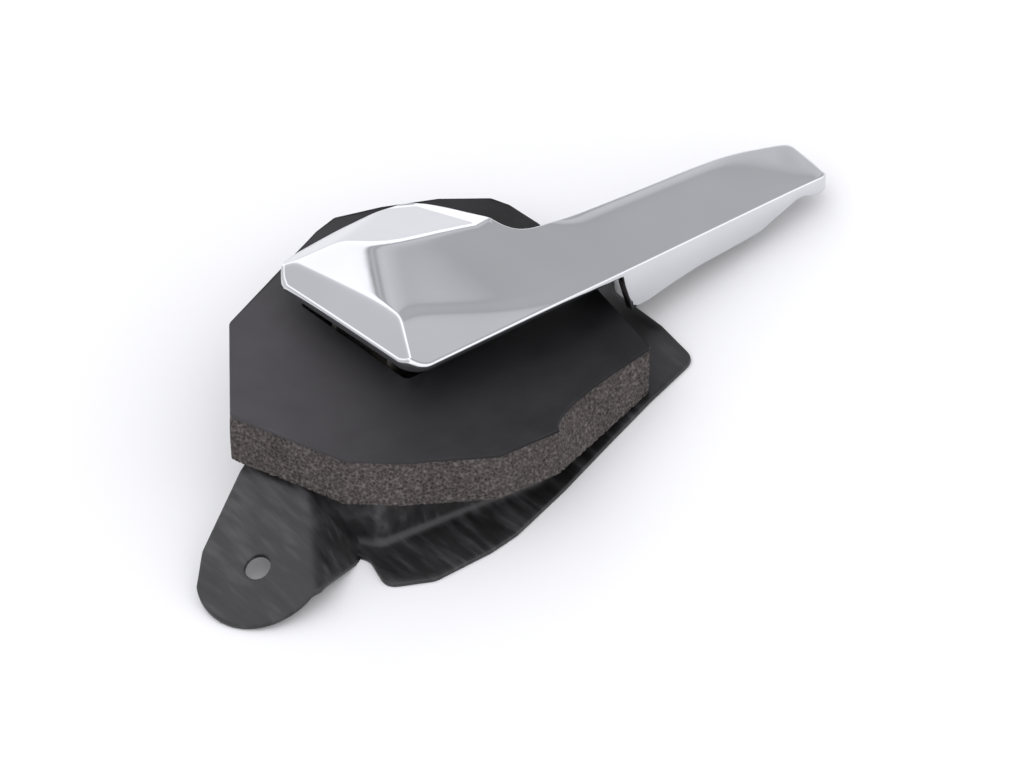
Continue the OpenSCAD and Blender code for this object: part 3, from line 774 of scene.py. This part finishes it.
def bump(mat, shader, height, strength, distance):
    node = mat.node_tree.nodes.new("ShaderNodeBump")
    node.inputs["Strength"].default_value = strength
    node.inputs["Distance"].default_value = distance
    link(mat, height, node.inputs["Height"])
    link(mat, node.outputs["Normal"], shader.inputs["Normal"])


def combine(mat, a, b, how="ADD"):
    node = mat.node_tree.nodes.new("ShaderNodeMath")
    node.operation = how
    for socket, value in zip(node.inputs, (a, b)):
        if isinstance(value, (int, float)):
            socket.default_value = value
        else:
            link(mat, value, socket)
    return node.outputs[0]


def scaled(mat, value, factor):
    return combine(mat, value, factor, "MULTIPLY")


# bare metal: a cloudy tone and a fine, directed grain in the roughness and surface
def bareMetal(name, dark, light, rough, grain, stretch=(1, 1, 1)):
    mat, shader = newFinish(name, light, 1.0, rough)
    v = place(mat, stretch)
    cloud = noise(mat, v, grain * 0.12, 3)
    link(mat, ramp(mat, cloud, [(0.3, dark), (0.7, light)]), shader.inputs["Base Color"])
    fine = noise(mat, v, grain, 5)
    link(mat, span(mat, fine, 0.3, 0.7, rough - 0.08, rough + 0.1), shader.inputs["Roughness"])
    bump(mat, shader, fine, 0.25, 0.00005)
    return mat


# plating: near mirror with faint smudges; bare dark casting on the inside
def platedFinish():
    mat, shader = newFinish("brightPlating", (0.64, 0.645, 0.66), 1.0, 0.05)
    v = place(mat)
    inside = mat.node_tree.nodes.new("ShaderNodeAttribute")
    inside.attribute_name = "inside"
    within = scaled(mat, inside.outputs["Fac"], 0.5)
    smudge = span(mat, noise(mat, v, 60, 5, 0.6), 0.35, 0.75, 0.035, 0.11)
    link(mat, combine(mat, smudge, within), shader.inputs["Roughness"])
    tone = combine(mat, scaled(mat, noise(mat, v, 25, 2), 0.5), within)
    tones = [(0.15, (0.615, 0.62, 0.635)), (0.35, (0.665, 0.67, 0.685)),
             (0.62, (0.045, 0.045, 0.045)), (0.85, (0.07, 0.07, 0.07))]
    link(mat, ramp(mat, tone, tones), shader.inputs["Base Color"])
    bump(mat, shader, noise(mat, v, 110, 2), 0.12, 0.00012)
    return mat


# thin black paint: worn in slanted streaks and slow clouds
def paintFinish():
    mat, shader = newFinish("blackPaint", (0.014, 0.014, 0.015), 0.0, 0.42)
    streak = noise(mat, place(mat, (1, 0.16, 0.5), (0, 0, math.radians(-38))), 420, 3, 0.5)
    cloud = noise(mat, place(mat), 35, 3)
    mixed = combine(mat, scaled(mat, streak, 0.6), scaled(mat, cloud, 0.4))
    tones = [(0.36, (0.007, 0.007, 0.0075)), (0.52, (0.018, 0.0175, 0.018)), (0.66, (0.048, 0.047, 0.049))]
    link(mat, ramp(mat, mixed, tones), shader.inputs["Base Color"])
    link(mat, span(mat, mixed, 0.35, 0.65, 0.34, 0.55), shader.inputs["Roughness"])
    bump(mat, shader, noise(mat, place(mat), 1600, 3), 0.25, 0.00006)
    return mat


# open foam: dark cells between paler threads, with fine grain
def foamFinish():
    mat, shader = newFinish("openFoam", (0.15, 0.13, 0.12), 0.0, 0.95, 0.2)
    v = place(mat)
    cell = cells(mat, v, 1150)
    grain = noise(mat, v, 900, 6, 0.7)
    cloud = noise(mat, v, 70, 3)
    mixed = combine(mat, scaled(mat, cell, 0.45), scaled(mat, grain, 0.75))
    mixed = combine(mat, mixed, scaled(mat, cloud, 0.2))
    tones = [(0.46, (0.016, 0.013, 0.012)), (0.58, (0.044, 0.038, 0.036)),
             (0.76, (0.078, 0.068, 0.064)), (0.94, (0.14, 0.125, 0.12))]
    link(mat, ramp(mat, mixed, tones), shader.inputs["Base Color"])
    bump(mat, shader, combine(mat, cell, grain, "MULTIPLY"), 0.8, 0.0004)
    return mat


# smooth skin: painted light and shade, the colour lighter at the open end and darker towards the arm, where
# the lever shades it
def skinFinish():
    mat, shader = newFinish("smoothSkin", (0.016, 0.016, 0.017), 0.0, 0.5, 0.2)
    v = place(mat)
    parts = mat.node_tree.nodes.new("ShaderNodeSeparateXYZ")
    link(mat, v, parts.inputs["Vector"])
    slant = combine(mat, parts.outputs["X"], scaled(mat, parts.outputs["Y"], -0.6))
    # painted shade: the skin's colour darkens from the open end towards the arm, in place of the lever's
    # shade
    paintedShadeTowardsArm = span(mat, slant, -0.10, -0.015, 1.0, 0.0)
    mixed = combine(mat, scaled(mat, paintedShadeTowardsArm, 0.7), scaled(mat, noise(mat, v, 30, 3), 0.3))
    tones = [(0.1, (0.003, 0.003, 0.0035)), (0.45, (0.018, 0.017, 0.019)), (0.85, (0.050, 0.047, 0.051))]
    link(mat, ramp(mat, mixed, tones), shader.inputs["Base Color"])
    grain = noise(mat, v, 2600, 3)
    link(mat, span(mat, noise(mat, v, 90, 4), 0.3, 0.7, 0.42, 0.6), shader.inputs["Roughness"])
    bump(mat, shader, grain, 0.2, 0.00005)
    return mat


# moulded plastic or rubber: a cloudy tone, with a fine grain in the roughness and surface
def mouldedFinish(name, dark, light, rough, translucent=0.0):
    mat, shader = newFinish(name, light, 0.0, rough)
    v = place(mat)
    link(mat, ramp(mat, noise(mat, v, 240, 3), [(0.3, dark), (0.7, light)]), shader.inputs["Base Color"])
    shader.inputs["Subsurface Weight"].default_value = translucent
    shader.inputs["Subsurface Scale"].default_value = 0.001
    fine = noise(mat, v, 2400, 3)
    link(mat, span(mat, fine, 0.3, 0.7, rough - 0.08, rough + 0.08), shader.inputs["Roughness"])
    bump(mat, shader, fine, 0.15, 0.00004)
    return mat


platedSteel = bareMetal("platedSheet", (0.36, 0.36, 0.33), (0.55, 0.545, 0.50), 0.38, 900, (1, 1, 3))
turnedSteel = bareMetal("turnedSteel", (0.50, 0.50, 0.50), (0.66, 0.66, 0.66), 0.26, 1400, (1, 6, 1))
springSteel = bareMetal("springWire", (0.20, 0.20, 0.21), (0.36, 0.36, 0.37), 0.32, 1100, (1, 4, 1))
nylon = mouldedFinish("naturalNylon", (0.70, 0.66, 0.56), (0.80, 0.77, 0.68), 0.45, 0.15)
blackNylon = mouldedFinish("blackNylon", (0.016, 0.016, 0.016), (0.03, 0.03, 0.03), 0.5)
yellowNylon = mouldedFinish("yellowNylon", (0.50, 0.40, 0.16), (0.62, 0.52, 0.24), 0.45, 0.1)
stopRubber = mouldedFinish("stopRubber", (0.012, 0.012, 0.012), (0.024, 0.024, 0.024), 0.75)
finishes = {leverShell: platedFinish(), foamBlock: foamFinish(), padSkin: skinFinish(),
            basePressing: paintFinish(), returnSpring: springSteel}
nodeFinishes = {"crank_arm": platedSteel, "pivot_bracket": platedSteel, "crank_rivets": turnedSteel,
                "pivot_pin": turnedSteel, "bracket_rivets": turnedSteel, "pin_clip": springSteel,
                "bush_near": nylon, "bush_far": nylon, "spring_sleeve": blackNylon, "rest_stop": stopRubber,
                "pull_stop": stopRubber, "rod_clip": yellowNylon}
for name, finish in nodeFinishes.items():
    finishes[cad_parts[name]] = finish
for piece, finish in finishes.items():
    piece.data.materials.clear()
    piece.data.materials.append(finish)
print("finishes made")

# stage
stage = {"floorTones": [(0.3, (0.86, 0.86, 0.86)), (0.7, (0.88, 0.88, 0.88))], "floorHalf": 1500.0,
         "skyStrength": 1.55, "panelAt": (8, 47), "panelReach": (44, 12),
         "panelTones": [(0.0, 1.0), (0.16, 0.95), (0.24, 0.27), (0.30, 0.46), (0.36, 0.32), (0.44, 0.50),
                        (0.55, 0.52), (0.73, 0.46), (0.84, 0.36), (1.0, 0.38)],
         "sideAt": (150, 8), "sideReach": (48, 15), "sideTones": [(0.0, 1.0), (0.5, 0.62), (1.0, 0.5)]}
floorPoints = stage["floorHalf"] * np.array([[-1, -1, 0], [1, -1, 0], [1, 1, 0], [-1, 1, 0]])
floorMesh = bpy.data.meshes.new("floor")
floorMesh.from_pydata((floorPoints * mm).tolist(), [], [(0, 1, 2, 3)])
floor = bpy.data.objects.new("floor", floorMesh)
bpy.context.scene.collection.objects.link(floor)
floorMat, floorShader = newFinish("paleFloor", stage["floorTones"][0][1], 0.0, 0.9, 0.0)
floorCloud = noise(floorMat, place(floorMat), 4, 2)
link(floorMat, ramp(floorMat, floorCloud, stage["floorTones"]), floorShader.inputs["Base Color"])
floorMesh.materials.append(floorMat)

world = bpy.data.worlds.new("studio")
bpy.context.scene.world = world
world.use_nodes = True
sky = world.node_tree
back = sky.nodes["Background"]
back.inputs["Strength"].default_value = stage["skyStrength"]
direction = sky.nodes.new("ShaderNodeTexCoord")


# grey panel in an even white room: tones by the cosine of the angle from its centre
def greyPanel(at, reach, stops):
    az, el = (math.radians(v) for v in at)
    facing = sky.nodes.new("ShaderNodeVectorMath")
    facing.operation = "DOT_PRODUCT"
    centre = (math.cos(az) * math.cos(el), math.sin(az) * math.cos(el), math.sin(el))
    facing.inputs[1].default_value = centre
    sky.links.new(direction.outputs["Generated"], facing.inputs[0])
    fade = sky.nodes.new("ShaderNodeMapRange")
    for key, v in zip(("From Min", "From Max"), (math.cos(math.radians(a)) for a in reach)):
        fade.inputs[key].default_value = v
    sky.links.new(facing.outputs["Value"], fade.inputs["Value"])
    shade = sky.nodes.new("ShaderNodeValToRGB")
    while len(shade.color_ramp.elements) < len(stops):
        shade.color_ramp.elements.new(0.5)
    for element, (position, grey) in zip(shade.color_ramp.elements, stops):
        element.position, element.color = position, (grey, grey, grey * 1.02, 1)
    sky.links.new(fade.outputs["Result"], shade.inputs["Fac"])
    return shade.outputs["Color"]


both = sky.nodes.new("ShaderNodeMix")
both.data_type, both.blend_type = "RGBA", "MULTIPLY"
both.inputs["Factor"].default_value = 1.0
sky.links.new(greyPanel(stage["panelAt"], stage["panelReach"], stage["panelTones"]), both.inputs["A"])
sky.links.new(greyPanel(stage["sideAt"], stage["sideReach"], stage["sideTones"]), both.inputs["B"])
sky.links.new(both.outputs["Result"], back.inputs["Color"])
bpy.context.scene.view_settings.view_transform = "Standard"

for piece, body, nodes, slot in ((leverShell, "lever", ["lever_shell"], "plated_lever"),
                                 (foamBlock, "base", ["foam_pad"], "open_foam"),
                                 (padSkin, "base", ["face_skin"], "black_skin"),
                                 (basePressing, "base", ["base_plate"], "black_steel"),
                                 (returnSpring, "base", ["return_spring"], "spring_steel")):
    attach(piece, body)
    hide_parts(*nodes)
